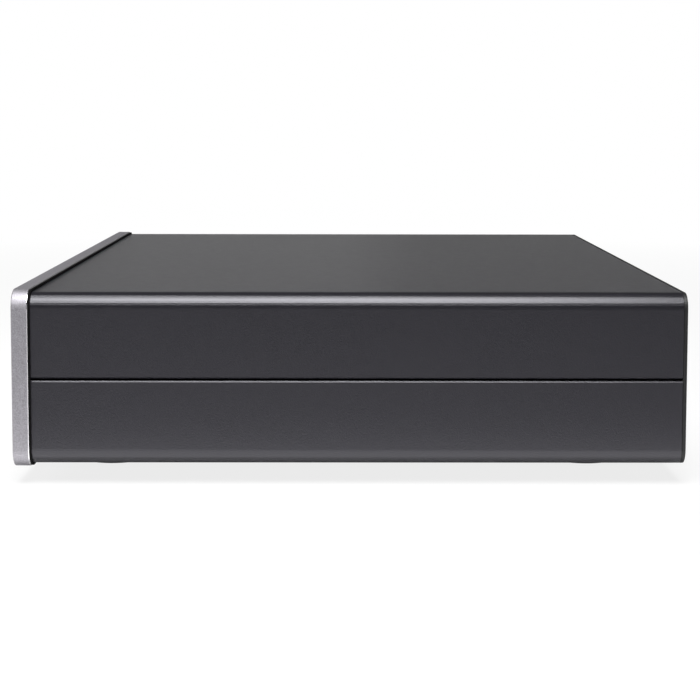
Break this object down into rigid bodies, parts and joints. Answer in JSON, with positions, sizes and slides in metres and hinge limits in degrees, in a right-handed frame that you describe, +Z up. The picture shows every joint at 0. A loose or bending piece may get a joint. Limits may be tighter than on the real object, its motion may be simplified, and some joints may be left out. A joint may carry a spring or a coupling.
{
  "type": "network audio player",
  "caption": "Flat hi-fi box of two dark half shells with a thick silver front plate, display, turning push dial, push buttons and rear sockets, standing on round feet.",
  "frame": {"origin": "On the table under the middle of the whole object, dial and rear sockets included.", "axes": "+X to the right seen from the front, +Y to the rear, +Z up; the front faces -Y."},
  "size_m": [0.43, 0.3536, 0.0955],
  "materials": {
    "shell_anodised": "satin dark anodised",
    "plate_aluminium": "bead blasted, clear anodised",
    "button_aluminium": "satin",
    "black_steel": "matt black",
    "rear_black": "fine satin",
    "foot_plastic": "matt",
    "pad_rubber": "matt",
    "steel": "zinc plated",
    "smoked_acrylic": "polished",
    "display_glass": "polished",
    "board_laminate": "solder mask",
    "black_plastic": "moulded",
    "clear_plastic": "polished",
    "gold_plate": "polished",
    "red_plastic": "moulded",
    "white_plastic": "moulded",
    "orange_plastic": "moulded",
    "fuse_glass": "clear",
    "module_steel": "tinned",
    "lead_plastic": "extruded",
    "ribbon_plastic": "extruded"
  },
  "bodies": {
    "chassis": {"board_connectors": "black_plastic", "board_posts": "steel", "bottom_shell": "shell_anodised", "capacitors": "black_plastic", "coaxial_phono_collar": "orange_plastic", "control_board": "board_laminate", "control_posts": "steel", "converter_chips": "black_plastic", "display_module": "display_glass", "display_window": "smoked_acrylic", "encoder_body": "black_plastic", "encoder_nut": "steel", "ethernet_contacts": "gold_plate", "ethernet_socket": "black_plastic", "feet": "foot_plastic", "foot_pads": "pad_rubber", "foot_screws": "steel", "front_plate": "plate_aluminium", "front_subpanel": "black_steel", "inlet_screws": "steel", "key_switches": "black_plastic", "left_phono_collar": "white_plastic", "locating_pins": "steel", "machine_screws": "steel", "main_board": "board_laminate", "mains_blades": "steel", "mains_inlet": "black_plastic", "mains_leads": "lead_plastic", "network_module": "module_steel", "optical_socket": "black_plastic", "phono_barrels": "gold_plate", "phono_nuts": "steel", "power_supply_board": "board_laminate", "rear_panel": "rear_black", "rear_screws": "black_steel", "ribbon_cable": "ribbon_plastic", "right_phono_collar": "red_plastic", "rocker_housing": "black_plastic", "rocker_tabs": "steel", "status_light": "clear_plastic", "subpanel_screws": "black_steel", "top_shell": "shell_anodised", "transformer": "black_plastic", "transformer_bolt": "steel", "transformer_clamp": "steel", "usb_shells": "steel", "usb_tongues": "black_plastic"},
    "standby_button": {"standby_button": "button_aluminium"},
    "menu_button": {"menu_button": "button_aluminium"},
    "play_button": {"play_button": "button_aluminium"},
    "previous_button": {"previous_button": "button_aluminium"},
    "next_button": {"next_button": "button_aluminium"},
    "encoder_plunger": {"encoder_plunger": "black_plastic"},
    "dial": {"control_dial": "plate_aluminium", "dial_grub_screw": "black_steel", "encoder_shaft": "steel"},
    "fuse_drawer": {"fuse_drawer": "black_plastic", "fuse": "fuse_glass"},
    "power_rocker": {"power_rocker": "black_plastic"},
    "optical_shutter": {"optical_shutter": "black_plastic"}
  },
  "joints": [
    {"name": "standby_press", "type": "slide", "parent": "chassis", "child": "standby_button", "axis": [0, 1, 0], "range_m": [0, 0.0008], "stiffness_N_per_m": 400},
    {"name": "menu_press", "type": "slide", "parent": "chassis", "child": "menu_button", "axis": [0, 1, 0], "range_m": [0, 0.0008], "stiffness_N_per_m": 400},
    {"name": "play_press", "type": "slide", "parent": "chassis", "child": "play_button", "axis": [0, 1, 0], "range_m": [0, 0.0008], "stiffness_N_per_m": 400},
    {"name": "previous_press", "type": "slide", "parent": "chassis", "child": "previous_button", "axis": [0, 1, 0], "range_m": [0, 0.0008], "stiffness_N_per_m": 400},
    {"name": "next_press", "type": "slide", "parent": "chassis", "child": "next_button", "axis": [0, 1, 0], "range_m": [0, 0.0008], "stiffness_N_per_m": 400},
    {"name": "dial_press", "type": "slide", "parent": "chassis", "child": "encoder_plunger", "axis": [0, 1, 0], "range_m": [0, 0.0006], "stiffness_N_per_m": 900},
    {"name": "dial_turn", "type": "hinge", "parent": "encoder_plunger", "child": "dial", "pos_m": [0.08815, -0.17675, 0.052], "axis": [0, 1, 0], "continuous": true},
    {"name": "fuse_drawer_pull", "type": "slide", "parent": "chassis", "child": "fuse_drawer", "axis": [0, 1, 0], "range_m": [0, 0.018]},
    {"name": "power_rocker_tilt", "type": "hinge", "parent": "chassis", "child": "power_rocker", "pos_m": [-0.11529, 0.16625, 0.052], "axis": [-1, 0, 0], "range_deg": [0, 16]},
    {"name": "optical_shutter_swing", "type": "hinge", "parent": "chassis", "child": "optical_shutter", "pos_m": [0.0363, 0.16575, 0.03085], "axis": [-1, 0, 0], "range_deg": [0, 85], "stiffness_Nm_per_rad": 0.001}
  ]
}
